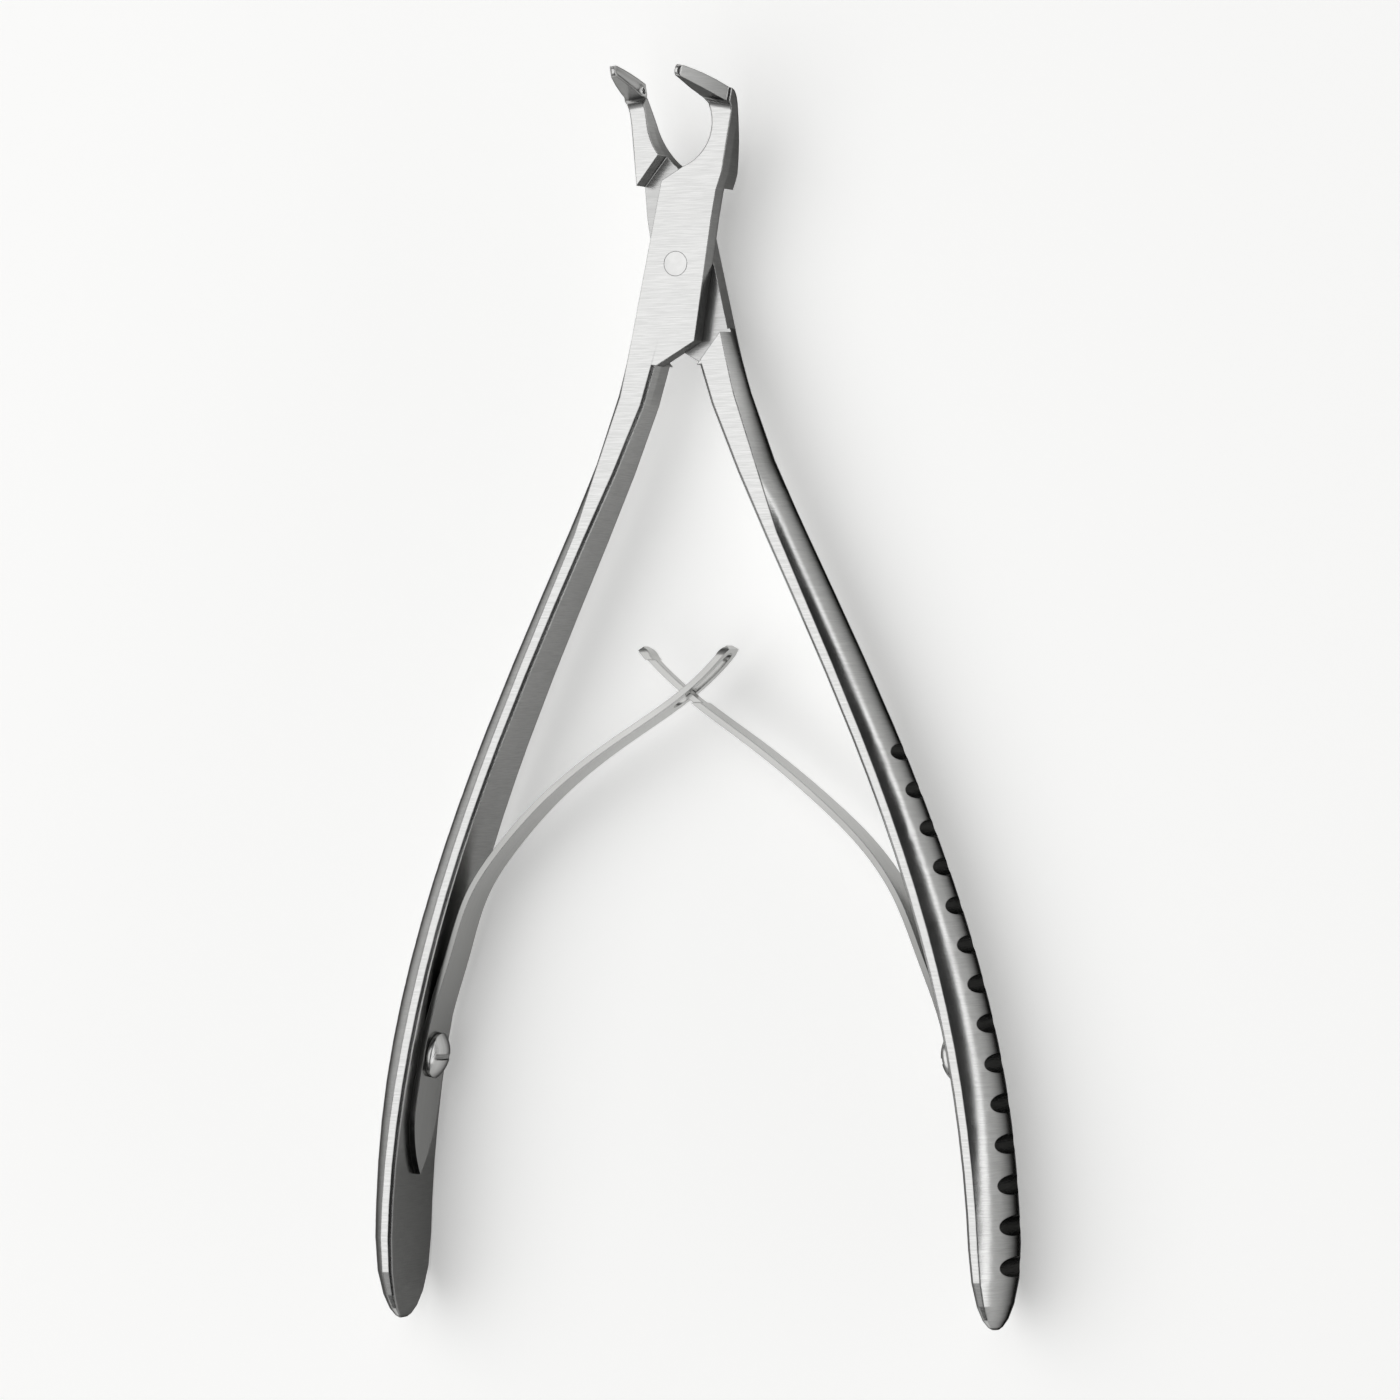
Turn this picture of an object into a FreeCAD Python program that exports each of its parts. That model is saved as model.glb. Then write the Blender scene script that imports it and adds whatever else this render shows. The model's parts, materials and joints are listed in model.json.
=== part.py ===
import FreeCAD, Part
import os
from math import asin, cos, radians, sin, tan
from FreeCAD import Matrix, Rotation, Vector

os.makedirs("parts", exist_ok=True)

# Bone rongeur with bent cup jaws, lying on its back.
# +Y runs along the tool towards the jaws, +Z is the front that the beaks point to,
# +X is to the right as seen from the front. Millimetres.
# Each lever is drawn as it stands with the jaws closed, about the pivot at X = Y = 0 and the
# joint's mid-plane at Z = 0, with its handle on the right and its jaw on the left. Then it is
# turned open about the pivot, and mirrored for the lever whose handle is on the left.

# Turn of the back lever from rest to closed, and the gap that is left between the closed cups
CLOSING_ANGLE = 19.1
CUP_GAP = 0.1

# The left jaw is set this much further inward on its lever than the right one
LEFT_JAW_SET = 2.4

# Lap joint
JOINT_THICKNESS = 5.0
LAP_CLEARANCE = 0.04
JOINT_TOP = 8.7
JOINT_BOTTOM = 8.0
JOINT_TOP_WIDTH = 6.5
JOINT_BOTTOM_WIDTH = 7.3
SHOULDER_ANGLE = 41.0
TOP_SHOULDER_CLEARANCE = 0.25
BOTTOM_SHOULDER_CLEARANCE = 0.35
CROTCH_OFFSET = 0.3
CROTCH_OVERLAP = 1.0
JAW_BLEND = 3.0

# Pivot screw, flush on both faces
PIVOT_DIAMETER = 2.7
PIVOT_HEAD_DIAMETER = 4.4
PIVOT_HEAD_HEIGHT = 1.1
PIVOT_SLOT_WIDTH = 0.6
PIVOT_SLOT_DEPTH = 0.5
PIVOT_FIT = 0.01
PIVOT_RUNNING_CLEARANCE = 0.03

# Jaw shanks: outer edge from the closing line, height where it is reached, and half the oval gap
# between the shanks. The left shank is ground slimmer than the right one.
LEFT_SHANK_OFFSET = 2.75
RIGHT_SHANK_OFFSET = 3.6
LEFT_SHANK_TAPER_TOP = 16.0
RIGHT_SHANK_TAPER_TOP = 10.8
LEFT_OVAL_DEPTH = 0.9
RIGHT_OVAL_DEPTH = 1.58
OVAL_MIDDLE = 14.9
OVAL_TOP = 18.8
RELIEF_DEPTH = 0.9
RELIEF_START = 0.2
RELIEF_END = 0.9

# Beak, bent forward from the shank. The throat's upper end and middle point are given as shares of
# its radius, upward and forward.
SHANK_FRONT_TOP = 17.3
KNEE_TOP = 20.0
BEAK_REACH = 9.6
BEAK_RISE = 1.5
BEAK_ARCH = 0.14
BEAK_ROOT_HEIGHT = 1.7
BEAK_TIP_HEIGHT = 1.25
BEAK_ROOT_STEP = 0.35
BEAK_TIP_WIDTH = 0.65
THROAT_RADIUS = 1.2
THROAT_TOP = (0.25, 1.15)
THROAT_MIDDLE = (0.62, 0.27)
KNEE_DEPTH = 5.0

# Back of the knee: how far below its top, and how far in from the joint's back face, over its depth
KNEE_BACK = ((2.0, 0.0), (1.15, 0.25), (0.52, 0.58), (0.13, 0.88), (0.0, 1.18))
CUP_DEPTH = 0.5
CUP_ROOT_RADIUS = 0.68
CUP_TIP_RADIUS = 0.46
CUP_RIM = 0.6
CUP_ROOT_RISE = 0.12
CUP_TIP_DROP = 0.08

# Handle: length below the joint, bow of the closed handles, and sizes of its D-shaped section
HANDLE_LENGTH = 109.6
HANDLE_BOW = 15.0
NECK_WIDTH = 5.0
GRIP_WIDTH = 11.6
EDGE_CHAMFER = 0.35
END_LENGTH = 9.0
END_INSET = 1.2

# Inner face of the handle in plan: share of the length, share of the bow
HANDLE_CURVE = (
    (-0.030, 0.012),
    (0.0, 0.027),
    (0.14, 0.233),
    (0.355, 0.627),
    (0.55, 0.893),
    (0.75, 0.985),
    (1.0, 0.77),
)

# Sections of the handle: how far apart down to the grooves, and how they change down it:
# share of the length, share of the widening, depth to the crest, side flat
STEM_STEP = 7.5
HANDLE_SECTIONS = (
    (-0.030, 0.0, 3.75, 3.45),
    (0.0, 0.0, 3.8, 3.2),
    (0.14, 0.25, 3.2, 1.95),
    (0.355, 0.47, 3.4, 1.2),
    (0.55, 0.64, 3.7, 1.15),
    (0.75, 0.87, 4.05, 1.2),
    (0.87, 1.0, 3.8, 1.2),
    (1.0, 1.0, 3.6, 1.2),
)
END_ANGLES = (90, 66, 46, 30, 17, 8)

# Finger grooves across the crest of each handle
GROOVE_COUNT = 14
FIRST_GROOVE = 57.6
GROOVE_PITCH = 4.41
FIRST_GROOVE_DEPTH = 0.55
LAST_GROOVE_DEPTH = 0.8
GROOVE_RADIUS = 1.2

# Leaf springs, drawn on the right with the levers open
LEAF_THICKNESS = 0.68
LEAF_SEAT_CLEARANCE = 0.05
LEAF_ROOT = 100.7
LEAF_SEAT_TOP = 84.0
LEAF_SEAT_POINTS = 5
LEAF_ROOT_WIDTH = 6.2
LEAF_TIP_WIDTH = 4.0
LEAF_POINT_LENGTH = 9.0
LEAF_POINT_FLANK = (0.36, 0.68)
CROSSING = 47.2
LEAF_TIP_REACH = 5.2
LEAF_TIP_RISE = 4.95
BEAD_LENGTH = 1.7
BEAD_THICKNESS = 0.85
SLOT_WIDTH = 1.9
SLOT_BELOW_CROSSING = 1.6
TONGUE_CLEARANCE = 0.25
SHOULDER_BELOW_CROSSING = 1.1
HEAD_WIDTH = 2.6
HEAD_LENGTH = 1.7

# Free part of each leaf: share of the way from the crossing to the seat, along X and along Y
SLOTTED_LEAF_CURVE = ((0.918, 0.79), (0.835, 0.60), (0.715, 0.46), (0.525, 0.30), (0.26, 0.14))
TONGUED_LEAF_CURVE = ((0.908, 0.79), (0.81, 0.60), (0.69, 0.46), (0.52, 0.325), (0.26, 0.155))

# Screws that hold the leaves
LEAF_SCREW_HEIGHT = 87.2
LEAF_SCREW_DIAMETER = 2.4
LEAF_SCREW_DEPTH = 2.4
LEAF_SCREW_FIT = 0.02
SCREW_HEAD_DIAMETER = 5.1
SCREW_HEAD_HEIGHT = 1.45
SCREW_HEAD_EDGE = 0.45
SCREW_HEAD_CLEARANCE = 0.05
SCREW_SLOT_WIDTH = 0.65
SCREW_SLOT_DEPTH = 0.6

# Lengths that run clear of the part, for cutters
BEYOND = 5.0

HALF_JOINT = JOINT_THICKNESS / 2
LEVER_TURN = (CLOSING_ANGLE + LEFT_JAW_SET) / 2
Z_AXIS = Vector(0, 0, 1)


def spline(points):
    curve = Part.BSplineCurve()
    curve.interpolate(points)
    return curve


def polygon(points):
    return Part.makePolygon(list(points) + [points[0]])


def prism(wire, direction):
    return Part.Face(wire).extrude(direction)


def chain(curves):
    return Part.Wire([curve.toShape() for curve in curves])


def at_height(curve, y):
    """Parameter of a plan curve, which runs down the handle, where it passes height y."""
    low = curve.FirstParameter
    high = curve.LastParameter
    rising = curve.value(high).y > curve.value(low).y
    for _ in range(50):
        middle = (low + high) / 2
        if (curve.value(middle).y < y) == rising:
            low = middle
        else:
            high = middle
    return (low + high) / 2


def tangent_at(curve, parameter):
    return Vector(*curve.tangent(parameter)[0]).normalize()


def outward_at(curve, parameter):
    """Unit vector square to a handle curve in plan, away from the space between the handles."""
    along = tangent_at(curve, parameter)
    return along.cross(Z_AXIS) * (1 if along.cross(Z_AXIS).x > 0 else -1)


def mirrored(shape):
    return shape.mirror(Vector(0, 0, 0), Vector(1, 0, 0))


def turn_about_pivot(point, angle):
    return Rotation(Z_AXIS, angle).multVec(point)


def turned(shape, angle):
    copy = shape.copy()
    copy.rotate(Vector(0, 0, 0), Z_AXIS, angle)
    return copy


# Handle

def handle_top():
    """Height where the handle's inner face leaves the lower edge of the lap."""
    run = JOINT_BOTTOM_WIDTH / 2 + CROTCH_OFFSET
    return -JOINT_BOTTOM - run * tan(radians(SHOULDER_ANGLE))


def handle_curve():
    top = handle_top()
    return spline([Vector(HANDLE_BOW * bow, top - HANDLE_LENGTH * share, 0) for share, bow in HANDLE_CURVE])


def handle_section(curve, y, width, depth, flat, scale):
    """D-shaped outline of the handle at height y: flat inner face, side strips and a round crest."""
    parameter = at_height(curve, y)
    base = curve.value(parameter)
    out = outward_at(curve, parameter)
    half = width * scale / 2
    chamfer = EDGE_CHAMFER * scale
    inset = END_INSET * (1 - scale)

    def point(depth_in, z):
        return base + out * (inset + depth_in) + Z_AXIS * z

    corners = [
        point(flat * scale, -half),
        point(chamfer, -half),
        point(0, chamfer - half),
        point(0, half - chamfer),
        point(chamfer, half),
        point(flat * scale, half),
    ]
    edges = [Part.LineSegment(a, b) for a, b in zip(corners, corners[1:])]
    edges.append(Part.Arc(corners[-1], point(depth * scale, 0), corners[0]))
    return chain(edges)


def handle_law(column):
    """How one size of the section changes with the share of the handle's length."""
    law = spline([Vector(row[column], -row[0], 0) for row in HANDLE_SECTIONS])
    return lambda share: law.value(at_height(law, -share)).x


def handle_stations():
    """Height, width, depth, side flat and scale of each section, down to the rounded end."""
    top = handle_top()
    widening, depth, flat = handle_law(1), handle_law(2), handle_law(3)
    start = HANDLE_SECTIONS[0][0]
    round_start = 1 - END_LENGTH / HANDLE_LENGTH
    first_grip = (top + FIRST_GROOVE - GROOVE_PITCH / 2) / HANDLE_LENGTH
    stem_steps = round((first_grip - start) * HANDLE_LENGTH / STEM_STEP)
    shares = [start + (first_grip - start) * step / stem_steps for step in range(stem_steps)]
    grip_step = GROOVE_PITCH / HANDLE_LENGTH
    grip_steps = round((round_start - first_grip) / grip_step)
    shares += [first_grip + grip_step * step for step in range(grip_steps)]
    scales = [1.0] * len(shares)
    for angle in END_ANGLES:
        shares.append(1 - (1 - round_start) * (1 - cos(radians(angle))))
        scales.append(sin(radians(angle)))
    stations = []
    for share, scale in zip(shares, scales):
        width = NECK_WIDTH + (GRIP_WIDTH - NECK_WIDTH) * widening(share)
        stations.append((top - HANDLE_LENGTH * share, width, depth(share), flat(share), scale))
    return stations


def crest_curve(curve):
    points = []
    for y, width, depth, flat, scale in handle_stations():
        parameter = at_height(curve, y)
        crest = END_INSET * (1 - scale) + depth * scale
        points.append(curve.value(parameter) + outward_at(curve, parameter) * crest)
    return spline(points)


def grooves(curve):
    crest = crest_curve(curve)
    cutters = []
    for index in range(GROOVE_COUNT):
        parameter = at_height(crest, -FIRST_GROOVE - index * GROOVE_PITCH)
        depth = FIRST_GROOVE_DEPTH + (LAST_GROOVE_DEPTH - FIRST_GROOVE_DEPTH) * index / (GROOVE_COUNT - 1)
        centre = crest.value(parameter) + outward_at(crest, parameter) * (GROOVE_RADIUS - depth)
        foot = centre - Z_AXIS * GRIP_WIDTH
        cutters.append(Part.makeCylinder(GROOVE_RADIUS, 2 * GRIP_WIDTH, foot, Z_AXIS))
    return cutters


def handle():
    curve = handle_curve()
    sections = [handle_section(curve, *station) for station in handle_stations()]
    body = Part.makeLoft(sections, True, True)
    return body.cut(grooves(curve))


# Lap joint

def crotch_tip():
    """Where the plate's top edge meets the oval gap, past the middle of the tool."""
    run = JOINT_TOP_WIDTH / 2 - CROTCH_OVERLAP
    return Vector(CROTCH_OVERLAP, JOINT_TOP + run * tan(radians(SHOULDER_ANGLE)), 0)


def joint_outline(jaw_set):
    """Lap plate between its shoulders, with the jaw's foot upper left and the handle's lower right."""
    top = JOINT_TOP_WIDTH / 2
    bottom = JOINT_BOTTOM_WIDTH / 2
    return [
        Vector(top, JOINT_TOP, 0),
        crotch_tip(),
        turn_about_pivot(Vector(-top, JOINT_TOP, 0), -jaw_set),
        Vector(-top, JOINT_TOP - JAW_BLEND, 0),
        Vector(-bottom, -JOINT_BOTTOM, 0),
        Vector(CROTCH_OFFSET, handle_top(), 0),
        Vector(bottom, handle_top(), 0),
        Vector(bottom, -JOINT_BOTTOM, 0),
    ]


def joint_plate(jaw_set):
    outline = [point - Z_AXIS * HALF_JOINT for point in joint_outline(jaw_set)]
    return prism(polygon(outline), Z_AXIS * JOINT_THICKNESS)


def lap_pocket(in_front):
    """Room for the other lever's lap: the half of the joint between the two shoulders."""
    slope = tan(radians(SHOULDER_ANGLE))
    rise = 1 / cos(radians(SHOULDER_ANGLE))
    top_corner = JOINT_TOP + TOP_SHOULDER_CLEARANCE * rise
    bottom_corner = -JOINT_BOTTOM - BOTTOM_SHOULDER_CLEARANCE * rise
    top = JOINT_TOP_WIDTH / 2
    bottom = JOINT_BOTTOM_WIDTH / 2
    reach = HANDLE_BOW
    outline = [
        Vector(-top - BEYOND, top_corner - BEYOND * slope, 0),
        Vector(CROTCH_OFFSET, top_corner + (top + CROTCH_OFFSET) * slope, 0),
        Vector(reach, top_corner + (top + CROTCH_OFFSET) * slope, 0),
        Vector(reach, bottom_corner, 0),
        Vector(bottom, bottom_corner, 0),
        Vector(-CROTCH_OFFSET - BEYOND, bottom_corner - (bottom + CROTCH_OFFSET + BEYOND) * slope, 0),
        Vector(-reach, bottom_corner - (bottom + CROTCH_OFFSET + BEYOND) * slope, 0),
        Vector(-reach, top_corner - BEYOND * slope, 0),
    ]
    pocket = prism(polygon(outline), Z_AXIS * (HALF_JOINT + BEYOND))
    if in_front:
        pocket.translate(-Z_AXIS * LAP_CLEARANCE / 2)
    else:
        pocket.translate(Z_AXIS * (LAP_CLEARANCE / 2 - HALF_JOINT - BEYOND))
    return pocket


# Jaw

def jaw_side():
    """Jaw seen from its side, in Y and Z: straight shank, rounded knee and the beak in front."""
    top_y = KNEE_TOP + BEAK_RISE
    tip_z = HALF_JOINT + BEAK_REACH
    front = HALF_JOINT
    knee = []
    for down, inward in KNEE_BACK:
        knee.append(Vector(0, KNEE_TOP - KNEE_DEPTH * down, KNEE_DEPTH * inward - front))
    nose = BEAK_TIP_HEIGHT / 2
    tip_top = Vector(0, top_y, tip_z - nose)
    arch = (knee[-1] + tip_top) * 0.5 + Vector(0, BEAK_ARCH, 0)
    tip_end = Vector(0, top_y - nose, tip_z)
    tip_low = Vector(0, top_y - BEAK_TIP_HEIGHT, tip_z - nose)
    up, out = THROAT_TOP
    throat_top = Vector(0, KNEE_TOP - BEAK_ROOT_HEIGHT + up * THROAT_RADIUS, front + out * THROAT_RADIUS)
    up, out = THROAT_MIDDLE
    throat_mid = Vector(0, SHANK_FRONT_TOP + up * THROAT_RADIUS, front + out * THROAT_RADIUS)
    throat_low = Vector(0, SHANK_FRONT_TOP, front)
    foot_front = Vector(0, JOINT_TOP, front)
    foot_back = Vector(0, JOINT_TOP, -front)
    return chain([
        Part.LineSegment(foot_back, knee[0]),
        spline(knee),
        Part.Arc(knee[-1], arch, tip_top),
        Part.Arc(tip_top, tip_end, tip_low),
        Part.LineSegment(tip_low, throat_top),
        Part.Arc(throat_top, throat_mid, throat_low),
        Part.LineSegment(throat_low, foot_front),
        Part.LineSegment(foot_front, foot_back),
    ])


def jaw_front(shank_offset, taper_top, oval_depth):
    """Jaw seen from the front, in X and Y: outer edge, and the oval gap below the cup."""
    crotch = crotch_tip()
    mating = -CUP_GAP / 2
    oval_top = Vector(mating, OVAL_TOP, 0)
    oval_mid = Vector(-oval_depth, OVAL_MIDDLE, 0)
    clear = KNEE_TOP + BEAK_RISE + BEYOND
    inside_foot = Vector(crotch.x, JOINT_TOP, 0)
    outside_foot = Vector(-JOINT_TOP_WIDTH / 2, JOINT_TOP, 0)
    shank_foot = Vector(-shank_offset, taper_top, 0)
    outside_top = Vector(-shank_offset, clear, 0)
    inside_top = Vector(mating, clear, 0)
    return chain([
        Part.LineSegment(inside_foot, crotch),
        Part.Arc(crotch, oval_mid, oval_top),
        Part.LineSegment(oval_top, inside_top),
        Part.LineSegment(inside_top, outside_top),
        Part.LineSegment(outside_top, shank_foot),
        Part.LineSegment(shank_foot, outside_foot),
        Part.LineSegment(outside_foot, inside_foot),
    ])


def beak_plan(shank_offset):
    """Beak seen from above, in X and Z: it narrows from the shank to its tip."""
    mating = -CUP_GAP / 2
    tip_z = HALF_JOINT + BEAK_REACH
    tip_x = mating - BEAK_TIP_WIDTH
    root_x = BEAK_ROOT_STEP - shank_offset
    clear_x = -JOINT_TOP_WIDTH / 2 - shank_offset
    clear_inside = CROTCH_OVERLAP + CUP_GAP
    nose = BEAK_TIP_WIDTH / 2
    tip_side = Vector(tip_x, 0, tip_z - nose)
    root = Vector(root_x, 0, HALF_JOINT + THROAT_RADIUS)
    bulge = (tip_side + root) * 0.5 - Vector(BEAK_ARCH, 0, 0)
    corners = [
        Vector(clear_x, 0, HALF_JOINT - THROAT_RADIUS),
        Vector(clear_x, 0, -HALF_JOINT),
        Vector(clear_inside, 0, -HALF_JOINT),
        Vector(clear_inside, 0, tip_z),
        Vector(tip_x + nose, 0, tip_z),
        tip_side,
    ]
    edges = [Part.LineSegment(a, b) for a, b in zip(corners, corners[1:])]
    edges.append(Part.Arc(tip_side, bulge, root))
    edges.append(Part.LineSegment(root, corners[0]))
    return chain(edges)


def knee_relief():
    """Takes the knee back from the other jaw, behind the cup."""
    mating = -CUP_GAP / 2
    outline = [
        Vector(-RELIEF_DEPTH, OVAL_MIDDLE, -HALF_JOINT - BEYOND),
        Vector(-RELIEF_DEPTH, OVAL_MIDDLE, HALF_JOINT + RELIEF_START),
        Vector(mating, OVAL_MIDDLE, HALF_JOINT + RELIEF_END),
        Vector(BEYOND, OVAL_MIDDLE, HALF_JOINT + RELIEF_END),
        Vector(BEYOND, OVAL_MIDDLE, -HALF_JOINT - BEYOND),
    ]
    return prism(polygon(outline), Vector(0, KNEE_TOP, 0))


def cup_cutter():
    """Tapered scoop with round ends, let into the mating face along the beak."""
    root = Vector(0, KNEE_TOP - BEAK_ROOT_HEIGHT / 2 + CUP_ROOT_RISE, HALF_JOINT + THROAT_RADIUS + CUP_RIM)
    tip = Vector(
        0,
        KNEE_TOP + BEAK_RISE - BEAK_TIP_HEIGHT / 2 - CUP_TIP_DROP,
        HALF_JOINT + BEAK_REACH - CUP_TIP_RADIUS - CUP_RIM,
    )
    along = (tip - root).normalize()
    length = (tip - root).Length
    outside = Vector(-CUP_GAP / 2 + CUP_ROOT_RADIUS - CUP_DEPTH, 0, 0)
    cone = Part.makeCone(CUP_ROOT_RADIUS, CUP_TIP_RADIUS, length, root + outside, along)
    root_ball = Part.makeSphere(CUP_ROOT_RADIUS, root + outside)
    tip_ball = Part.makeSphere(CUP_TIP_RADIUS, tip + outside)
    return cone.fuse([root_ball, tip_ball])


def jaw(shank_offset, taper_top, oval_depth):
    width = 2 * (JOINT_TOP_WIDTH + shank_offset)
    side = prism(jaw_side(), Vector(width, 0, 0))
    side.translate(Vector(-width / 2, 0, 0))
    height = JOINT_THICKNESS + BEAK_REACH + BEYOND
    front = prism(jaw_front(shank_offset, taper_top, oval_depth), Z_AXIS * height)
    front.translate(-Z_AXIS * HALF_JOINT)
    plan = prism(beak_plan(shank_offset), Vector(0, KNEE_TOP + BEAK_RISE + BEYOND, 0))
    return side.common(front).common(plan).cut([knee_relief(), cup_cutter()])


# Levers

def pivot_bore(running):
    clearance = PIVOT_RUNNING_CLEARANCE if running else PIVOT_FIT
    foot = -Z_AXIS * (HALF_JOINT + BEYOND)
    bore = Part.makeCylinder(PIVOT_DIAMETER / 2 + clearance, JOINT_THICKNESS + 2 * BEYOND, foot, Z_AXIS)
    if not running:
        return bore
    head_room = BEYOND + PIVOT_HEAD_HEIGHT + clearance
    recess = Part.makeCylinder(PIVOT_HEAD_DIAMETER / 2 + clearance, head_room, foot, Z_AXIS)
    return bore.fuse(recess)


def leaf_screw_place():
    """Point on the open right handle's inner face under the leaf screw, and the way into the handle."""
    curve = open_handle_curve()
    parameter = at_height(curve, -LEAF_SCREW_HEIGHT)
    return curve.value(parameter), outward_at(curve, parameter)


def leaf_screw_bore():
    place, out = leaf_screw_place()
    radius = LEAF_SCREW_DIAMETER / 2 + LEAF_SCREW_FIT
    return Part.makeCylinder(radius, BEYOND + LEAF_SCREW_DEPTH + LEAF_SCREW_FIT, place - out * BEYOND, out)


def lever(lap_in_front, jaw_set, own_jaw):
    """A lever, open, with its handle on the right and its jaw set inward by an angle."""
    blank = joint_plate(jaw_set).fuse([handle(), turned(own_jaw, -jaw_set)])
    body = blank.cut([lap_pocket(not lap_in_front), pivot_bore(not lap_in_front)])
    return turned(body.removeSplitter(), LEVER_TURN).cut(leaf_screw_bore())


def pivot_screw():
    shank = Part.makeCylinder(PIVOT_DIAMETER / 2, JOINT_THICKNESS, -Z_AXIS * HALF_JOINT, Z_AXIS)
    head = Part.makeCylinder(PIVOT_HEAD_DIAMETER / 2, PIVOT_HEAD_HEIGHT, -Z_AXIS * HALF_JOINT, Z_AXIS)
    slot = Part.makeBox(
        2 * PIVOT_HEAD_DIAMETER,
        PIVOT_SLOT_WIDTH,
        PIVOT_SLOT_DEPTH,
        Vector(-PIVOT_HEAD_DIAMETER, -PIVOT_SLOT_WIDTH / 2, -HALF_JOINT),
    )
    return shank.fuse(head).removeSplitter().cut(slot)


# Leaf springs

def open_handle_curve():
    points = []
    top = handle_top()
    for share, bow in HANDLE_CURVE:
        point = Vector(HANDLE_BOW * bow, top - HANDLE_LENGTH * share, 0)
        points.append(turn_about_pivot(point, LEVER_TURN))
    return spline(points)


def leaf_path(free_curve):
    """Middle line of a right-hand leaf in plan, from its root on the handle to its tip."""
    curve = open_handle_curve()
    lift = LEAF_THICKNESS / 2 + LEAF_SEAT_CLEARANCE
    points = []
    for index in range(LEAF_SEAT_POINTS):
        y = -LEAF_ROOT + (LEAF_ROOT - LEAF_SEAT_TOP) * index / (LEAF_SEAT_POINTS - 1)
        parameter = at_height(curve, y)
        points.append(curve.value(parameter) - outward_at(curve, parameter) * lift)
    seat = points[-1]
    for share_x, share_y in free_curve:
        points.append(Vector(seat.x * share_x, -CROSSING + (seat.y + CROSSING) * share_y, 0))
    points.append(Vector(0, -CROSSING, 0))
    points.append(Vector(-LEAF_TIP_REACH, LEAF_TIP_RISE - CROSSING, 0))
    return points


def leaf_band(free_curve):
    """The leaf's thickness in plan, with the rolled bead at its tip, extruded to its full width."""
    points = leaf_path(free_curve)
    middle = spline(points)
    upper = []
    lower = []
    for point in points:
        along = tangent_at(middle, middle.parameter(point))
        aside = along.cross(Z_AXIS) * (LEAF_THICKNESS / 2)
        upper.append(point + aside)
        lower.append(point - aside)
    outline = chain([
        spline(upper),
        Part.LineSegment(upper[-1], lower[-1]),
        spline(lower[::-1]),
        Part.LineSegment(lower[0], upper[0]),
    ])
    along = tangent_at(middle, middle.LastParameter)
    up_side = along.cross(Z_AXIS)
    bead_centre = points[-1] - along * BEAD_LENGTH / 2 + up_side * (BEAD_THICKNESS - LEAF_THICKNESS) / 2
    bead_curve = Part.Ellipse(
        bead_centre + along * BEAD_LENGTH / 2, bead_centre + up_side * BEAD_THICKNESS / 2, bead_centre
    )
    height = Z_AXIS * LEAF_ROOT_WIDTH
    band = prism(outline, height).fuse(prism(Part.Wire(bead_curve.toShape()), height))
    band.translate(-height / 2)
    return band


def leaf_flat(width_at_tip, tip_y):
    """Leaf seen from its side, in Y and Z: pointed root, even taper and a round tip."""
    root_half = LEAF_ROOT_WIDTH / 2
    tip_half = width_at_tip / 2
    point_top = LEAF_POINT_LENGTH - LEAF_ROOT
    flank_y = LEAF_POINT_LENGTH * LEAF_POINT_FLANK[0] - LEAF_ROOT
    flank_z = root_half * LEAF_POINT_FLANK[1]
    round_y = tip_y - tip_half
    point = Vector(0, -LEAF_ROOT, 0)
    return chain([
        Part.Arc(point, Vector(0, flank_y, -flank_z), Vector(0, point_top, -root_half)),
        Part.LineSegment(Vector(0, point_top, -root_half), Vector(0, round_y, -tip_half)),
        Part.Arc(Vector(0, round_y, -tip_half), Vector(0, tip_y, 0), Vector(0, round_y, tip_half)),
        Part.LineSegment(Vector(0, round_y, tip_half), Vector(0, point_top, root_half)),
        Part.Arc(Vector(0, point_top, root_half), Vector(0, flank_y, flank_z), point),
    ])


def across(wire):
    """Run a side outline right across the open levers."""
    reach = 4 * HANDLE_BOW
    solid = prism(wire, Vector(2 * reach, 0, 0))
    solid.translate(Vector(-reach, 0, 0))
    return solid


def leaf_tip_y():
    return LEAF_TIP_RISE - CROSSING + BEAD_THICKNESS / 2


def slotted_leaf():
    """Right-hand form of the leaf whose slot the other leaf's tongue passes through."""
    tip_y = leaf_tip_y()
    blank = leaf_band(SLOTTED_LEAF_CURVE).cut(leaf_screw_bore())
    leaf = blank.common(across(leaf_flat(LEAF_TIP_WIDTH, tip_y)))
    radius = SLOT_WIDTH / 2
    low = -CROSSING - SLOT_BELOW_CROSSING + radius
    high = tip_y - radius - (LEAF_TIP_WIDTH - SLOT_WIDTH) / 2
    slot = chain([
        Part.LineSegment(Vector(0, low, radius), Vector(0, high, radius)),
        Part.Arc(Vector(0, high, radius), Vector(0, high + radius, 0), Vector(0, high, -radius)),
        Part.LineSegment(Vector(0, high, -radius), Vector(0, low, -radius)),
        Part.Arc(Vector(0, low, -radius), Vector(0, low - radius, 0), Vector(0, low, radius)),
    ])
    cutter = prism(slot, Vector(2 * LEAF_TIP_REACH, 0, 0))
    cutter.translate(Vector(-1.5 * LEAF_TIP_REACH, 0, 0))
    return leaf.cut(cutter)


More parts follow.
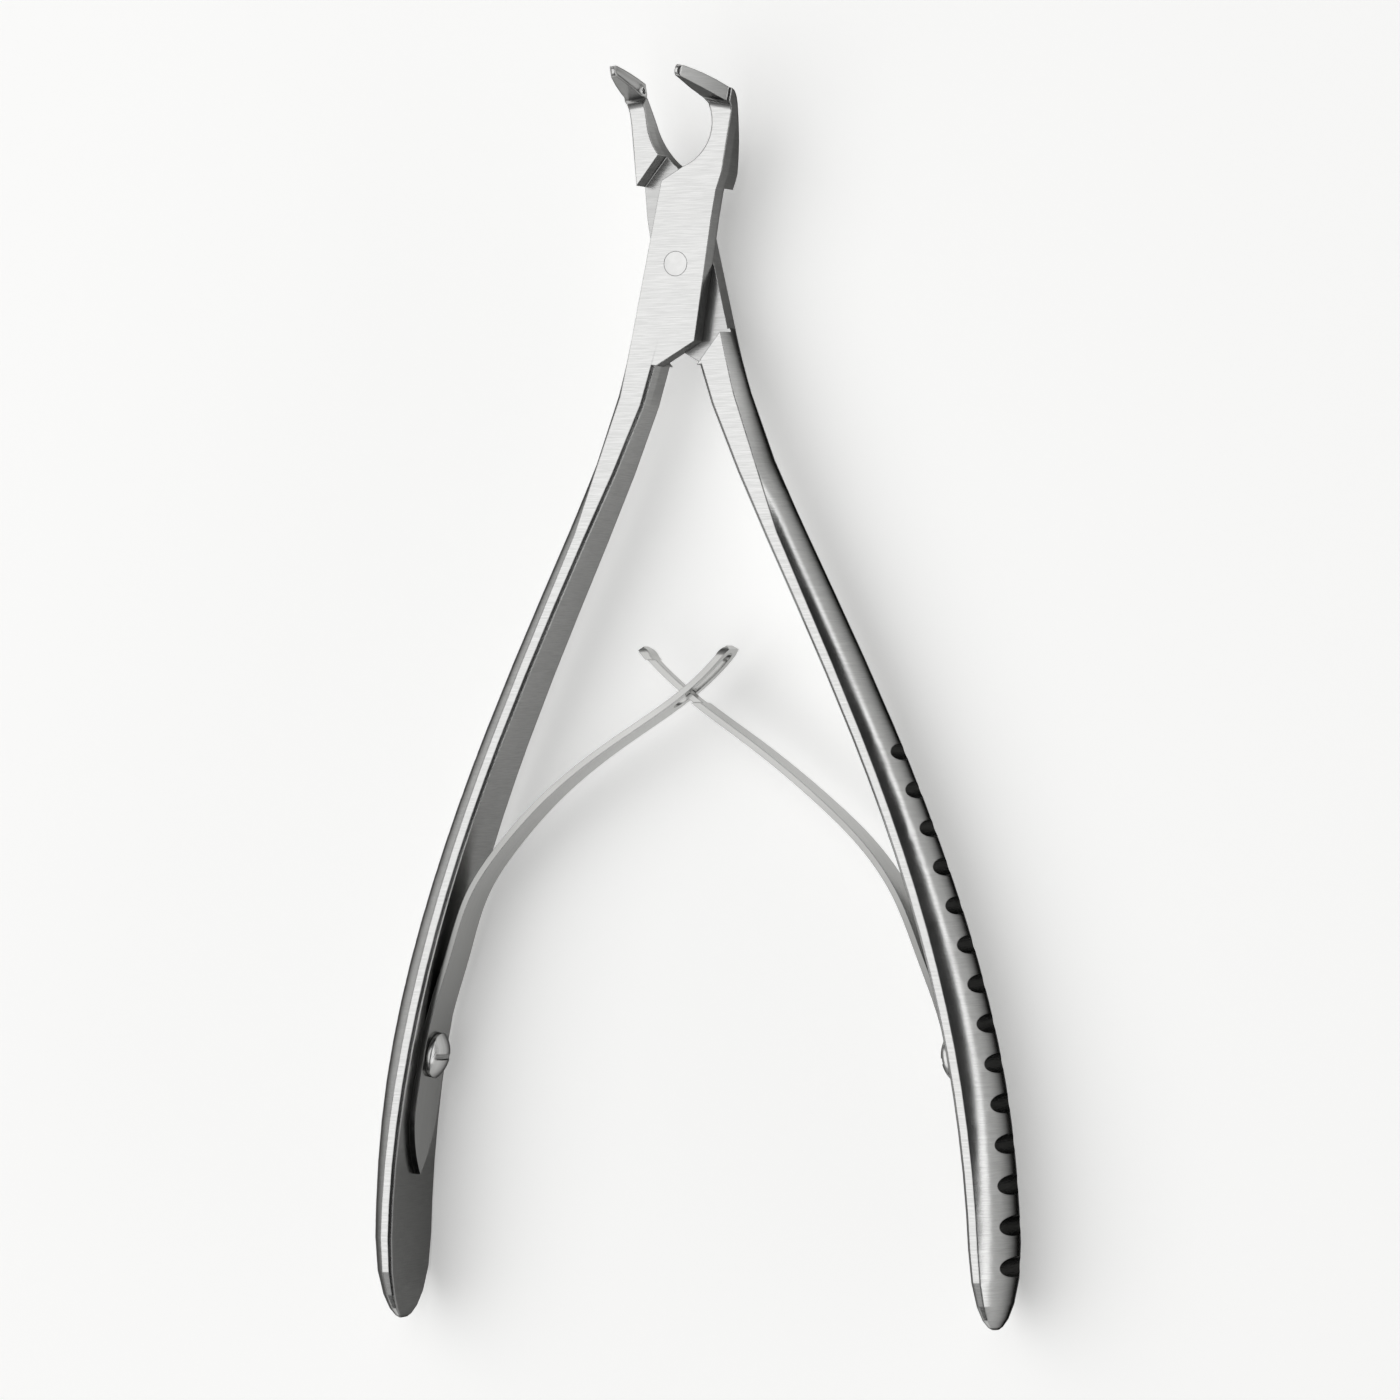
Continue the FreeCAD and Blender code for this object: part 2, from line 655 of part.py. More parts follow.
def tongued_leaf():
    """Leaf that narrows to a tongue at the crossing and widens again to a head at its tip."""
    tip_y = leaf_tip_y()
    blank = leaf_band(TONGUED_LEAF_CURVE).cut(leaf_screw_bore())
    leaf = blank.common(across(leaf_flat(HEAD_WIDTH, tip_y)))
    half_tongue = SLOT_WIDTH / 2 - TONGUE_CLEARANCE
    low = -CROSSING - SHOULDER_BELOW_CROSSING
    high = tip_y - HEAD_LENGTH
    waste = []
    for side in (-1, 1):
        notch = Part.makeBox(
            2 * LEAF_TIP_REACH,
            high - low,
            LEAF_ROOT_WIDTH,
            Vector(-1.5 * LEAF_TIP_REACH, low, half_tongue if side > 0 else -half_tongue - LEAF_ROOT_WIDTH),
        )
        waste.append(notch)
    return leaf.cut(waste)


def leaf_screw():
    """Slotted round-head screw through the right leaf into its handle, slot across the handle."""
    place, out = leaf_screw_place()
    seat = LEAF_THICKNESS + LEAF_SEAT_CLEARANCE + SCREW_HEAD_CLEARANCE
    radius = SCREW_HEAD_DIAMETER / 2
    shank = LEAF_SCREW_DIAMETER / 2
    dome = SCREW_HEAD_HEIGHT - SCREW_HEAD_EDGE
    dome_radius = (radius ** 2 + dome ** 2) / (2 * dome)
    lean = asin(radius / dome_radius) / 2
    profile = chain([
        Part.LineSegment(Vector(0, 0, -LEAF_SCREW_DEPTH), Vector(shank, 0, -LEAF_SCREW_DEPTH)),
        Part.LineSegment(Vector(shank, 0, -LEAF_SCREW_DEPTH), Vector(shank, 0, seat)),
        Part.LineSegment(Vector(shank, 0, seat), Vector(radius, 0, seat)),
        Part.LineSegment(Vector(radius, 0, seat), Vector(radius, 0, seat + SCREW_HEAD_EDGE)),
        Part.Arc(
            Vector(radius, 0, seat + SCREW_HEAD_EDGE),
            Vector(dome_radius * sin(lean), 0, seat + SCREW_HEAD_HEIGHT - dome_radius * (1 - cos(lean))),
            Vector(0, 0, seat + SCREW_HEAD_HEIGHT),
        ),
        Part.LineSegment(Vector(0, 0, seat + SCREW_HEAD_HEIGHT), Vector(0, 0, -LEAF_SCREW_DEPTH)),
    ])
    body = Part.Face(profile).revolve(Vector(0, 0, 0), Z_AXIS, 360)
    slot = Part.makeBox(
        SCREW_HEAD_DIAMETER * 2,
        SCREW_SLOT_WIDTH,
        SCREW_HEAD_HEIGHT,
        Vector(-SCREW_HEAD_DIAMETER, -SCREW_SLOT_WIDTH / 2, seat + SCREW_HEAD_HEIGHT - SCREW_SLOT_DEPTH),
    )
    screw = body.cut(slot)
    inward = out * -1
    frame = Matrix(
        0, inward.cross(Z_AXIS).x, inward.x, place.x,
        0, inward.cross(Z_AXIS).y, inward.y, place.y,
        -1, 0, 0, 0,
    )
    return screw.transformShape(frame, True)


def build():
    right_jaw = jaw(RIGHT_SHANK_OFFSET, RIGHT_SHANK_TAPER_TOP, RIGHT_OVAL_DEPTH)
    left_jaw = jaw(LEFT_SHANK_OFFSET, LEFT_SHANK_TAPER_TOP, LEFT_OVAL_DEPTH)
    pieces = {
        "front_lever": mirrored(lever(True, 0, right_jaw)),
        "back_lever": lever(False, LEFT_JAW_SET, left_jaw),
        "pivot_screw": pivot_screw(),
        "left_leaf_spring": mirrored(slotted_leaf()),
        "right_leaf_spring": tongued_leaf(),
        "left_spring_screw": mirrored(leaf_screw()),
        "right_spring_screw": leaf_screw(),
    }
    levers = Part.makeCompound([pieces["front_lever"], pieces["back_lever"]])
    box = levers.optimalBoundingBox(False)
    base = Vector(0, -(box.YMin + box.YMax) / 2, -box.ZMin)
    for shape in pieces.values():
        shape.translate(base)
    return pieces


for name, piece in build().items():
    piece.exportStep("parts/" + name + ".step")
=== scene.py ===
import json
import math

import bmesh
import bpy
from bpy.props import FloatProperty, FloatVectorProperty, PointerProperty
from bpy.types import NodeSocket, Operator, Panel, PropertyGroup
from mathutils import Matrix, Vector


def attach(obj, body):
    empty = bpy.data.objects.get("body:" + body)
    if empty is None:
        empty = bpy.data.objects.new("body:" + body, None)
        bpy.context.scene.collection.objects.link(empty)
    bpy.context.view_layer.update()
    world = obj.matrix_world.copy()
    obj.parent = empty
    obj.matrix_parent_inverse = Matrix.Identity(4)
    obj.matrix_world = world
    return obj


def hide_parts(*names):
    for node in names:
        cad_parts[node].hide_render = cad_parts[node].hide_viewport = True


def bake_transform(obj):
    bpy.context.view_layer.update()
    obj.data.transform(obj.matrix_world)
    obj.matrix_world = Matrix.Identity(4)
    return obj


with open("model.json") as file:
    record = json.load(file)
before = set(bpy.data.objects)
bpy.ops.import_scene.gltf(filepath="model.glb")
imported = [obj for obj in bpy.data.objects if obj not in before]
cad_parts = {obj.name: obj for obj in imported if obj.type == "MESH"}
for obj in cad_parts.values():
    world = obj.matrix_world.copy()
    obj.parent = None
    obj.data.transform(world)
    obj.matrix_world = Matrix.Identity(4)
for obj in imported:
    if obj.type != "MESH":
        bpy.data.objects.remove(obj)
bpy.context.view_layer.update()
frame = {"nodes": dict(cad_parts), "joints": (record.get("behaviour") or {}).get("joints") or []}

bl_info = {
    "name": "Bone Rongeur",
    "version": (1, 0, 0),
    "blender": (4, 5, 0),
    "location": "View3D > Sidebar > Rongeur",
    "description": "Dresses a sprung bone rongeur in satin steel and sets up its studio",
    "category": "Object",
}

MM = 0.001
NODES = frame["nodes"]
PIVOT = Vector(frame["joints"][0]["pos_m"])

# Where one finish or painted shade gives way to the next, along the tool from the joint screw
CRISP_TO_ROLLED = 8 * MM, 13 * MM
# Painted shade on the recessed lap faces near the joint fades out over this span
LAP_SHADE_REACH = 14 * MM, 16 * MM
# Painted shade towards a leaf's root fades in over this span
ROOT_SHADE_REACH = 58 * MM, 85 * MM
# Painted shade on the handles' insides fades in over this span towards the grip ends
INSIDE_SHADE_REACH = 82 * MM, 100 * MM

# Height over the joint's middle where the painted shade on the recessed lap faces gives way to the unshaded
# fronts
LAP_TO_FRONT = 0.2 * MM, 0.6 * MM

# A face's distance from the tool's middle line, times its share of facing away from that line
FLAT_TO_PALM = 2 * MM, 8 * MM


def linear(code):
    """sRGB hex colour as linear red, green, blue and alpha."""
    parts = [int(code[i:i + 2], 16) / 255 for i in (1, 3, 5)]
    return [p / 12.92 if p <= 0.04045 else ((p + 0.055) / 1.055) ** 2.4 for p in parts] + [1.0]


# Sizes and colours

class RongeurSteel(PropertyGroup):
    satin_light: FloatVectorProperty(
        name="Satin steel, light", description="Brushed stainless where the belt has cut it brightest",
        subtype="COLOR", size=4, min=0, max=1, default=linear("#CDCDCC"))
    satin_deep: FloatVectorProperty(
        name="Satin steel, deep", description="Brushed stainless between the bright streaks",
        subtype="COLOR", size=4, min=0, max=1, default=linear("#BCBCBB"))
    # Painted shade: reflectance at grazing view, which steel darkens only a little, set far darker so that
    # silhouettes and rolled sides darken
    grazing_shade_tint: FloatVectorProperty(
        name="Grazing shade tint", description="What the brushed steel reflects when it is seen along its surface",
        subtype="COLOR", size=4, min=0, max=1, default=linear("#5A5A5A"))
    spring_light: FloatVectorProperty(
        name="Spring steel, light", description="Polished leaf spring",
        subtype="COLOR", size=4, min=0, max=1, default=linear("#BEBEBC"))
    spring_deep: FloatVectorProperty(
        name="Spring steel, deep", description="Faint drawing lines along the leaf",
        subtype="COLOR", size=4, min=0, max=1, default=linear("#9A9A98"))
    # Painted shade: how bright the palm side and its grooves stay, darkened in colour where dark reflections
    # fall
    palm_painted_shade: FloatProperty(
        name="Palm painted shade", description="Brightness of the palm side and its grooves beside the flats",
        subtype="FACTOR", default=0.28, min=0, max=1)
    # Painted shade: how bright the recessed lap faces near the joint stay, darkened in colour where shade
    # falls in the recess
    lap_painted_shade: FloatProperty(
        name="Lap painted shade", description="Brightness of the lap faces beside the brushed ones",
        subtype="FACTOR", default=0.80, min=0, max=1)
    # Painted shade: how bright the handles' insides towards the grip ends stay, darkened in colour where
    # shade falls between them
    inside_painted_shade: FloatProperty(
        name="Inside painted shade", description="Brightness of the handles' insides at the grip ends",
        subtype="FACTOR", default=0.45, min=0, max=1)
    # Painted shade: how bright a leaf's root stays, darkened in colour beside its handle
    root_painted_shade: FloatProperty(
        name="Root painted shade", description="Brightness of a leaf's root beside its polished part",
        subtype="FACTOR", default=0.42, min=0, max=1)
    grain_pitch: FloatProperty(
        name="Grain pitch", description="Distance between the brushed lines",
        subtype="DISTANCE", unit="LENGTH", default=0.13 * MM, min=0.02 * MM)
    grain_length: FloatProperty(
        name="Grain length", description="Length of one brushed line",
        subtype="DISTANCE", unit="LENGTH", default=2.6 * MM, min=0.1 * MM)
    grain_depth: FloatProperty(
        name="Grain depth", description="Depth of the brushed lines",
        subtype="DISTANCE", unit="LENGTH", default=0.012 * MM, min=0)
    sheen_width: FloatProperty(
        name="Sheen width", description="Size of the slow changes of sheen from finishing by hand",
        subtype="DISTANCE", unit="LENGTH", default=6 * MM, min=0.5 * MM)
    drawn_pitch: FloatProperty(
        name="Drawn pitch", description="Distance between the drawing lines of a leaf",
        subtype="DISTANCE", unit="LENGTH", default=0.22 * MM, min=0.02 * MM)
    drawn_length: FloatProperty(
        name="Drawn length", description="Length of one drawing line",
        subtype="DISTANCE", unit="LENGTH", default=14 * MM, min=0.1 * MM)
    drawn_depth: FloatProperty(
        name="Drawn depth", description="Depth of the drawing lines",
        subtype="DISTANCE", unit="LENGTH", default=0.008 * MM, min=0)
    joint_edge: FloatProperty(
        name="Joint and leaf edges", description="Radius of the crisp edges, broken by hand",
        subtype="DISTANCE", unit="LENGTH", default=0.10 * MM, min=0)
    hand_edge: FloatProperty(
        name="Jaw and handle edges", description="Radius of the edges that the belt has rolled over",
        subtype="DISTANCE", unit="LENGTH", default=0.28 * MM, min=0)


class RongeurScrews(PropertyGroup):
    head_diameter: FloatProperty(
        name="Head diameter", description="Across the round head of a leaf screw",
        subtype="DISTANCE", unit="LENGTH", default=5.1 * MM, min=1 * MM)
    head_height: FloatProperty(
        name="Head height", description="From the leaf to the top of the head",
        subtype="DISTANCE", unit="LENGTH", default=1.45 * MM, min=0.5 * MM)
    rim_height: FloatProperty(
        name="Rim height", description="Straight rim under the dome",
        subtype="DISTANCE", unit="LENGTH", default=0.45 * MM, min=0.05 * MM)
    slot_width: FloatProperty(
        name="Slot width", description="Width of the driver's slot",
        subtype="DISTANCE", unit="LENGTH", default=0.65 * MM, min=0.1 * MM)
    slot_depth: FloatProperty(
        name="Slot depth", description="Depth of the driver's slot",
        subtype="DISTANCE", unit="LENGTH", default=0.6 * MM, min=0.1 * MM)
    shank_diameter: FloatProperty(
        name="Shank diameter", description="Shank in the handle",
        subtype="DISTANCE", unit="LENGTH", default=2.4 * MM, min=0.5 * MM)
    shank_depth: FloatProperty(
        name="Shank depth", description="How far the shank goes into the handle",
        subtype="DISTANCE", unit="LENGTH", default=2.4 * MM, min=0.5 * MM)
    seat: FloatProperty(
        name="Seat", description="From the handle's face to the underside of the head: the leaf and its play",
        subtype="DISTANCE", unit="LENGTH", default=0.78 * MM, min=0)
    below_joint: FloatProperty(
        name="Below the joint", description="How far down the handle the screw sits",
        subtype="DISTANCE", unit="LENGTH", default=87.2 * MM)
    aside: FloatProperty(
        name="Aside", description="From the tool's middle line to the handle's inner face at the screw",
        subtype="DISTANCE", unit="LENGTH", default=31.6 * MM)
    lean: FloatProperty(
        name="Lean", description="Slope of the handle's inner face at the screw",
        subtype="ANGLE", unit="ROTATION", default=math.radians(11.0))


class RongeurStudio(PropertyGroup):
    azimuth: FloatProperty(
        name="Azimuth", description="How far the camera stands to the right of straight in front",
        subtype="ANGLE", unit="ROTATION", default=math.radians(21.5))
    roll: FloatProperty(
        name="Roll", description="Turn of the tool in the picture, anticlockwise",
        subtype="ANGLE", unit="ROTATION", default=math.radians(0.6))
    distance: FloatProperty(
        name="Distance", description="Camera distance", subtype="DISTANCE", unit="LENGTH", default=0.85)
    frame_width: FloatProperty(
        name="Frame width", description="Width that the picture takes in at the tool",
        subtype="DISTANCE", unit="LENGTH", default=0.15436)
    below_joint: FloatProperty(
        name="Below the joint", description="The picture's centre, down the tool from the joint screw",
        subtype="DISTANCE", unit="LENGTH", default=48 * MM)
    sideways: FloatProperty(
        name="Sideways", description="The picture's centre, to the right of the tool's middle line",
        subtype="DISTANCE", unit="LENGTH", default=1.28 * MM)
    floor: FloatVectorProperty(
        name="Floor", description="Pale paper floor", subtype="COLOR", size=4, min=0, max=1,
        default=linear("#FBFBFA"))
    floor_side: FloatProperty(
        name="Floor side", description="Side of the square floor",
        subtype="DISTANCE", unit="LENGTH", default=3.0)
    floor_lift: FloatProperty(
        name="Floor lift", description="How much whiter the paper looks than the lamps leave it",
        subtype="FACTOR", default=0.32, min=0, max=1)
    wall_left: FloatProperty(
        name="Left wall", description="Light from the wall on the left", default=0.5, min=0)
    wall_right: FloatProperty(
        name="Right wall", description="Light from the wall on the right", default=0.03, min=0)
    wall_foot: FloatProperty(
        name="Foot of the walls", description="Light from low on the walls beside that from high up",
        subtype="FACTOR", default=0.15, min=0, max=1)
    softbox_place: FloatVectorProperty(
        name="Softbox", description="Above the tool on the left, where the front faces reflect it",
        subtype="TRANSLATION", default=(-0.34, 0.05, 0.74))
    softbox_side: FloatProperty(
        name="Softbox side", description="Side of the square softbox",
        subtype="DISTANCE", unit="LENGTH", default=1.3)
    softbox_power: FloatProperty(
        name="Softbox power", description="Power in watts", default=4.9, min=0)
    strip_place: FloatVectorProperty(
        name="Strip", description="Low on the right, where the round sides reflect it",
        subtype="TRANSLATION", default=(0.55, 0, 0.075))
    strip_length: FloatProperty(
        name="Strip length", description="Length of the strip light",
        subtype="DISTANCE", unit="LENGTH", default=1.0)
    strip_height: FloatProperty(
        name="Strip height", description="Height of the strip light",
        subtype="DISTANCE", unit="LENGTH", default=0.13)
    strip_power: FloatProperty(
        name="Strip power", description="Power in watts", default=0.9, min=0)


# Materials

def new_material(name):
    material = bpy.data.materials.new(name)
    material.use_nodes = True
    material.node_tree.nodes.clear()
    return material


def add(tree, kind, inputs=None, **settings):
    """A node with its settings. Each input gets a plain value or the socket that feeds it."""
    node = tree.nodes.new(kind)
    for key, value in settings.items():
        setattr(node, key, value)
    for key, value in (inputs or {}).items():
        if isinstance(value, NodeSocket):
            tree.links.new(value, node.inputs[key])
        else:
            node.inputs[key].default_value = value
    return node


def painted_shade_share(tree, steel, spot, away):
    """Share of the steel's brightness that each face keeps: painted shade that darkens the colour on the palm
    side, on the recessed lap faces and on the handles' insides.
    """
    facing = add(tree, "ShaderNodeSeparateXYZ",
                 {0: add(tree, "ShaderNodeNewGeometry").outputs["Normal"]}).outputs
    flat = add(tree, "ShaderNodeMath", {0: facing["Z"]}, operation="ABSOLUTE")
    outward = add(tree, "ShaderNodeMath", {0: facing["X"], 1: spot["X"]}, operation="MULTIPLY")

    # Painted shade: the palm side and its grooves, turned away from the front, are darkened in colour, while
    # the flats keep their full brightness
    palm_painted_shade = add(tree, "ShaderNodeMapRange", {
        "Value": flat.outputs[0], "From Min": 0.04, "From Max": 0.9,
        "To Min": 1 - steel.palm_painted_shade, "To Max": 0.0})
    palm = add(tree, "ShaderNodeMapRange", {
        "Value": outward.outputs[0], "From Min": FLAT_TO_PALM[0], "From Max": FLAT_TO_PALM[1]})
    palm_shade_depth = add(tree, "ShaderNodeMath", {0: palm_painted_shade.outputs["Result"], 1: palm.outputs["Result"]},
                operation="MULTIPLY")
    palm_shaded = add(tree, "ShaderNodeMath", {0: 1.0, 1: palm_shade_depth.outputs[0]}, operation="SUBTRACT")

    # Painted shade: the lap faces lie behind the front ones near the joint, and are darkened in colour where
    # shade falls in that recess
    behind = add(tree, "ShaderNodeMapRange", {
        "Value": spot["Z"], "From Min": PIVOT.z + LAP_TO_FRONT[0], "From Max": PIVOT.z + LAP_TO_FRONT[1],
        "To Min": steel.lap_painted_shade, "To Max": 1.0})
    beyond = add(tree, "ShaderNodeMapRange", {
        "Value": away, "From Min": LAP_SHADE_REACH[0], "From Max": LAP_SHADE_REACH[1],
        "To Min": steel.lap_painted_shade, "To Max": 1.0})
    lap_painted_shade = add(tree, "ShaderNodeMath", {0: behind.outputs["Result"], 1: beyond.outputs["Result"]},
                 operation="MAXIMUM")

    # Painted shade: towards the grip ends the insides of the handles are darkened in colour, where shade
    # falls between the handles
    inward = add(tree, "ShaderNodeMapRange", {
        "Value": outward.outputs[0], "From Min": -FLAT_TO_PALM[1], "From Max": -FLAT_TO_PALM[0],
        "To Min": 1.0, "To Max": 0.0})
    low = add(tree, "ShaderNodeMapRange", {
        "Value": away, "From Min": INSIDE_SHADE_REACH[0], "From Max": INSIDE_SHADE_REACH[1],
        "To Min": 0.0, "To Max": 1 - steel.inside_painted_shade})
    inside_shade_depth = add(tree, "ShaderNodeMath", {0: inward.outputs["Result"], 1: low.outputs["Result"]},
                 operation="MULTIPLY")
    inside_painted_shade = add(tree, "ShaderNodeMath", {0: 1.0, 1: inside_shade_depth.outputs[0]}, operation="SUBTRACT")

    share = add(tree, "ShaderNodeMath", {0: palm_shaded.outputs[0], 1: lap_painted_shade.outputs[0]}, operation="MULTIPLY")
    return add(tree, "ShaderNodeMath", {0: share.outputs[0], 1: inside_painted_shade.outputs[0]},
               operation="MULTIPLY").outputs[0]


def satin_steel(name, steel, across):
    """Satin-brushed surgical stainless, ground on a belt. To the eye it is pale on its flats and dark where
    it rolls away, a darkness painted into its colour and grazing tint as shade, with fine lines square to the
    tool and broken edges that catch the light."""
    material = new_material(name)
    tree = material.node_tree
    place = add(tree, "ShaderNodeTexCoord").outputs["Object"]
    spot = add(tree, "ShaderNodeSeparateXYZ", {0: place}).outputs
    from_pivot = add(tree, "ShaderNodeMath", {0: spot["Y"], 1: PIVOT.y}, operation="SUBTRACT")
    away = add(tree, "ShaderNodeMath", {0: from_pivot.outputs[0]}, operation="ABSOLUTE").outputs[0]

    # The belt's grit leaves lines about 0.05 mm apart, drawn coarser so that they show
    along = 1 / steel.grain_length
    pitch = 1 / steel.grain_pitch
    lines = add(tree, "ShaderNodeMapping", {
        "Vector": place, "Scale": (along, pitch, along) if across else (along, along, pitch)})
    fine = add(tree, "ShaderNodeTexNoise", {
        "Vector": lines.outputs["Vector"], "Scale": 1.0, "Detail": 3.0, "Roughness": 0.6})
    grain = add(tree, "ShaderNodeMapRange", {"Value": fine.outputs["Fac"], "From Min": 0.3, "From Max": 0.7})
    colour = add(tree, "ShaderNodeMix", {
        0: grain.outputs["Result"], 6: steel.satin_deep, 7: steel.satin_light}, data_type="RGBA")
    # Painted shade: the colour is darkened face by face, by the shares worked out below
    colour = add(tree, "ShaderNodeVectorMath", {
        0: colour.outputs[2], "Scale": painted_shade_share(tree, steel, spot, away)}, operation="SCALE")

    # The finishing by hand changes the sheen slowly from place to place
    cloud = add(tree, "ShaderNodeTexNoise", {"Vector": place, "Scale": 1 / steel.sheen_width, "Detail": 2.0})
    rough = add(tree, "ShaderNodeMapRange", {
        "Value": cloud.outputs["Fac"], "From Min": 0.25, "From Max": 0.75, "To Min": 0.18, "To Max": 0.26})

    # Edges are crisp at the joint and rolled over on the jaws and handles
    radius = add(tree, "ShaderNodeMapRange", {
        "Value": away, "From Min": CRISP_TO_ROLLED[0], "From Max": CRISP_TO_ROLLED[1],
        "To Min": steel.joint_edge, "To Max": steel.hand_edge})
    edge = add(tree, "ShaderNodeBevel", {"Radius": radius.outputs["Result"]}, samples=8)
    relief = add(tree, "ShaderNodeBump", {
        "Height": grain.outputs["Result"], "Normal": edge.outputs["Normal"],
        "Strength": 0.25, "Distance": steel.grain_depth})

    # Painted shade: the dark grazing tint darkens the steel's reflections where it rolls away from view
    shader = add(tree, "ShaderNodeBsdfPrincipled", {
        "Base Color": colour.outputs[0], "Metallic": 1.0, "Roughness": rough.outputs["Result"],
        "Specular Tint": steel.grazing_shade_tint, "Normal": relief.outputs["Normal"]})
    add(tree, "ShaderNodeOutputMaterial", {"Surface": shader.outputs["BSDF"]})
    return material


def polished_spring_steel(steel):
    """Cold-rolled spring stainless, polished along its length. To the eye it is smoother than the levers,
    with long faint lines that run with the leaf, edges that flash, and painted shade that darkens it towards
    the root."""
    material = new_material("polished cold-rolled spring stainless")
    tree = material.node_tree
    place = add(tree, "ShaderNodeTexCoord").outputs["Object"]
    spot = add(tree, "ShaderNodeSeparateXYZ", {0: place}).outputs
    along = 1 / steel.drawn_length
    lines = add(tree, "ShaderNodeMapping", {"Vector": place, "Scale": (along, along, 1 / steel.drawn_pitch)})
    grain = add(tree, "ShaderNodeTexNoise", {"Vector": lines.outputs["Vector"], "Scale": 1.0, "Detail": 3.0})
    colour = add(tree, "ShaderNodeMix", {
        0: grain.outputs["Fac"], 6: steel.spring_deep, 7: steel.spring_light}, data_type="RGBA")

    # Painted shade: the leaf darkens in colour towards its root, beside the handle
    root_shaded = add(tree, "ShaderNodeMapRange", {
        "Value": spot["Y"], "From Min": PIVOT.y - ROOT_SHADE_REACH[1],
        "From Max": PIVOT.y - ROOT_SHADE_REACH[0], "To Min": steel.root_painted_shade, "To Max": 1.0})
    colour = add(tree, "ShaderNodeVectorMath", {0: colour.outputs[2], "Scale": root_shaded.outputs["Result"]},
                 operation="SCALE")

    rough = add(tree, "ShaderNodeMapRange", {
        "Value": grain.outputs["Fac"], "From Min": 0.3, "From Max": 0.7, "To Min": 0.17, "To Max": 0.26})
    edge = add(tree, "ShaderNodeBevel", {"Radius": steel.joint_edge}, samples=8)
    relief = add(tree, "ShaderNodeBump", {
        "Height": grain.outputs["Fac"], "Normal": edge.outputs["Normal"],
        "Strength": 0.2, "Distance": steel.drawn_depth})
    shader = add(tree, "ShaderNodeBsdfPrincipled", {
        "Base Color": colour.outputs[0], "Metallic": 1.0, "Roughness": rough.outputs["Result"],
        "Normal": relief.outputs["Normal"]})
    add(tree, "ShaderNodeOutputMaterial", {"Surface": shader.outputs["BSDF"]})
    return material


def matt_white_paper(studio):
    """Matt white background paper. To the eye it is an even white that takes only a soft shadow."""
    material = new_material("matt white paper")
    tree = material.node_tree
    matt = add(tree, "ShaderNodeBsdfPrincipled", {
        "Base Color": studio.floor, "Roughness": 0.9, "Specular IOR Level": 0.1})
    # The camera and the steel see the paper a little whiter than the lamps leave it
    ray = add(tree, "ShaderNodeLightPath").outputs
    seen = add(tree, "ShaderNodeMath", {0: ray["Is Camera Ray"], 1: ray["Is Glossy Ray"]},
               operation="MAXIMUM")
    seen = add(tree, "ShaderNodeMath", {0: seen.outputs[0], 1: ray["Is Transmission Ray"]},
               operation="MAXIMUM")
    lift = add(tree, "ShaderNodeMath", {0: seen.outputs[0], 1: studio.floor_lift}, operation="MULTIPLY")
    glow = add(tree, "ShaderNodeEmission", {"Color": studio.floor, "Strength": lift.outputs[0]})
    both = add(tree, "ShaderNodeAddShader", {0: matt.outputs["BSDF"], 1: glow.outputs[0]})
    add(tree, "ShaderNodeOutputMaterial", {"Surface": both.outputs[0]})
    return material


# The tree that makes what repeats

def screw_inlets(tree):
    """The tree's named inputs, and its one output of geometry."""
    kinds = {
        "Head radius": "Float", "Rim height": "Float", "Dome height": "Float", "Slot width": "Float",
        "Slot depth": "Float", "Shank radius": "Float", "Shank depth": "Float", "Seat": "Float",
        "Place": "Vector", "Turn": "Vector", "Finish": "Material"}
    for name, kind in kinds.items():
        tree.interface.new_socket(name, in_out="INPUT", socket_type="NodeSocket" + kind)
    tree.interface.new_socket("Geometry", in_out="OUTPUT", socket_type="NodeSocketGeometry")
    return add(tree, "NodeGroupInput").outputs


